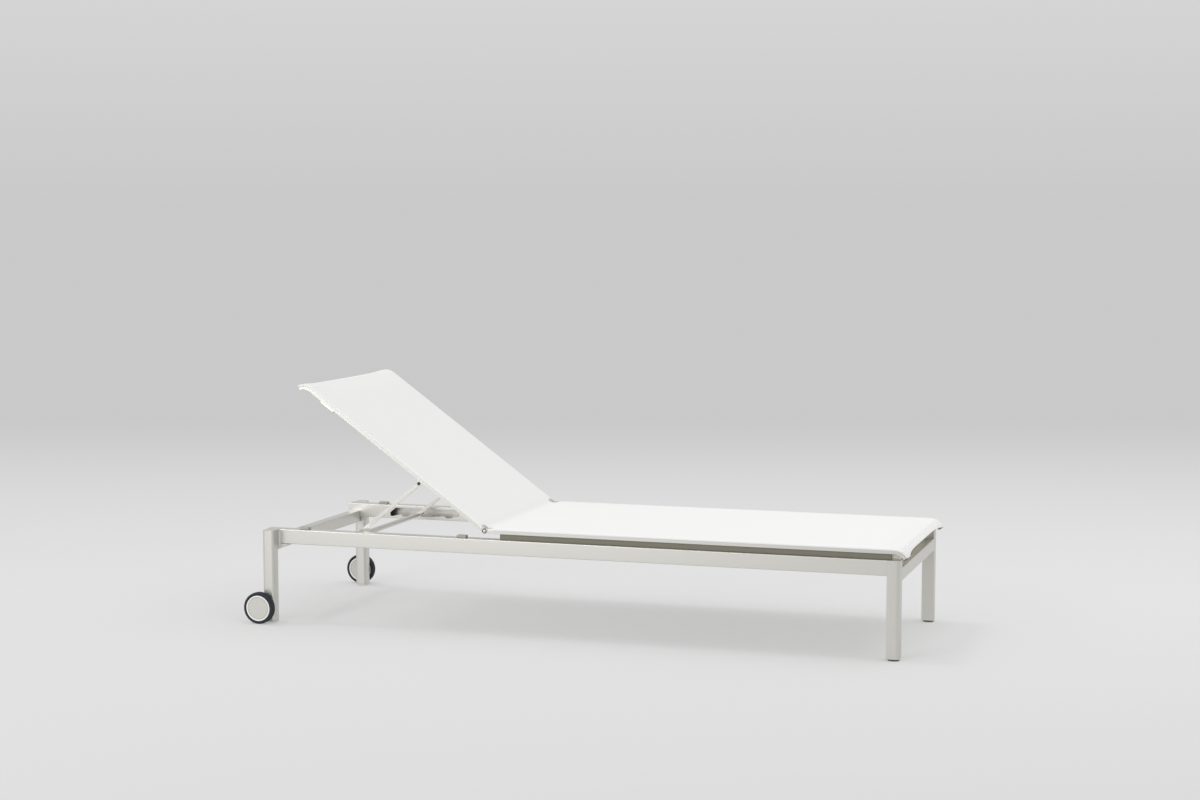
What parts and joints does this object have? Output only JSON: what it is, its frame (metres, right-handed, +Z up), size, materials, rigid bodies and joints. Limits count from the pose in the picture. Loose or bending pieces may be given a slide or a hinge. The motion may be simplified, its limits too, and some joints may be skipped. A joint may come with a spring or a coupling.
{
  "type": "reclining sun lounger",
  "caption": "Low reclining sun lounger: powder-coated aluminium frame with straight legs, taut mesh sling, ratchet back rest on a prop, and two rear wheels.",
  "frame": {"origin": "on the floor, under the middle of the object's bounding box", "axes": "+X from the head end to the foot end, +Y to the left side, +Z up"},
  "size_m": [2.0434, 0.776, 0.7387],
  "materials": {
    "powder_coat": "matt off-white powder coat on aluminium",
    "mesh_fabric": "white woven mesh sling",
    "tyre_rubber": "blue-black rubber",
    "wheel_plastic": "satin off-white moulding",
    "grey_plastic": "taupe grey moulding",
    "dark_plastic": "dark grey moulding",
    "stainless_steel": "brushed stainless steel"
  },
  "bodies": {
    "frame": {"side_rail_left": "powder_coat", "side_rail_right": "powder_coat", "rail_end_cap_left": "powder_coat", "rail_end_cap_right": "powder_coat", "rear_leg_left": "powder_coat", "rear_leg_right": "powder_coat", "rear_foot_cap_left": "wheel_plastic", "rear_foot_cap_right": "wheel_plastic", "front_leg_left": "powder_coat", "front_leg_right": "powder_coat", "front_glide_left": "dark_plastic", "front_glide_right": "dark_plastic", "wheel_bracket_left": "powder_coat", "wheel_bracket_right": "powder_coat", "axle_bolt_left": "stainless_steel", "axle_bolt_right": "stainless_steel", "riser_strip_left": "grey_plastic", "riser_strip_right": "grey_plastic", "seat_profile_left": "powder_coat", "seat_profile_right": "powder_coat", "seat_end_cap_left": "dark_plastic", "seat_end_cap_right": "dark_plastic", "rest_pad_head_left": "grey_plastic", "rest_pad_head_right": "grey_plastic", "rest_pad_hinge_left": "grey_plastic", "rest_pad_hinge_right": "grey_plastic", "pivot_bolt_left": "stainless_steel", "pivot_bolt_right": "stainless_steel", "rear_crossbar": "powder_coat", "front_crossbar": "powder_coat", "seat_spreader_foot": "powder_coat", "seat_spreader_mid": "powder_coat", "seat_spreader_hinge": "powder_coat", "seat_sling": "mesh_fabric"},
    "backrest": {"back_profile_left": "powder_coat", "back_profile_right": "powder_coat", "back_end_cap_left": "wheel_plastic", "back_end_cap_right": "wheel_plastic", "hinge_plate_left": "stainless_steel", "hinge_plate_right": "stainless_steel", "prop_bracket_left": "powder_coat", "prop_bracket_right": "powder_coat", "prop_pin_left": "stainless_steel", "prop_pin_right": "stainless_steel", "back_spreader_upper": "powder_coat", "back_spreader_lower": "powder_coat", "back_sling": "mesh_fabric"},
    "prop": {"prop_arm_left": "powder_coat", "prop_arm_right": "powder_coat", "prop_peg_left": "stainless_steel", "prop_peg_right": "stainless_steel", "prop_rod": "powder_coat"},
    "wheel_left": {"tyre_left": "tyre_rubber", "wheel_hub_left": "wheel_plastic", "hub_cap_left": "wheel_plastic"},
    "wheel_right": {"tyre_right": "tyre_rubber", "wheel_hub_right": "wheel_plastic", "hub_cap_right": "wheel_plastic"}
  },
  "joints": [
    {"name": "recline", "type": "hinge", "parent": "frame", "child": "backrest", "pos_m": [-0.2533, 0, 0.3125], "axis": [0, 1, 0], "range_deg": [-35.8, 14.2]},
    {"name": "prop_swing", "type": "hinge", "parent": "backrest", "child": "prop", "pos_m": [-0.48829, 0, 0.43919], "axis": [0, 1, 0], "range_deg": [-28.9, 72.8]},
    {"name": "wheel_left_spin", "type": "hinge", "parent": "frame", "child": "wheel_left", "pos_m": [-0.9725, 0.376, 0.049], "axis": [0, 1, 0], "continuous": true},
    {"name": "wheel_right_spin", "type": "hinge", "parent": "frame", "child": "wheel_right", "pos_m": [-0.9725, -0.376, 0.049], "axis": [0, 1, 0], "continuous": true}
  ],
  "couplings": [
    {"joint": "prop_swing", "follows": "recline", "ratio": -2.03}
  ]
}
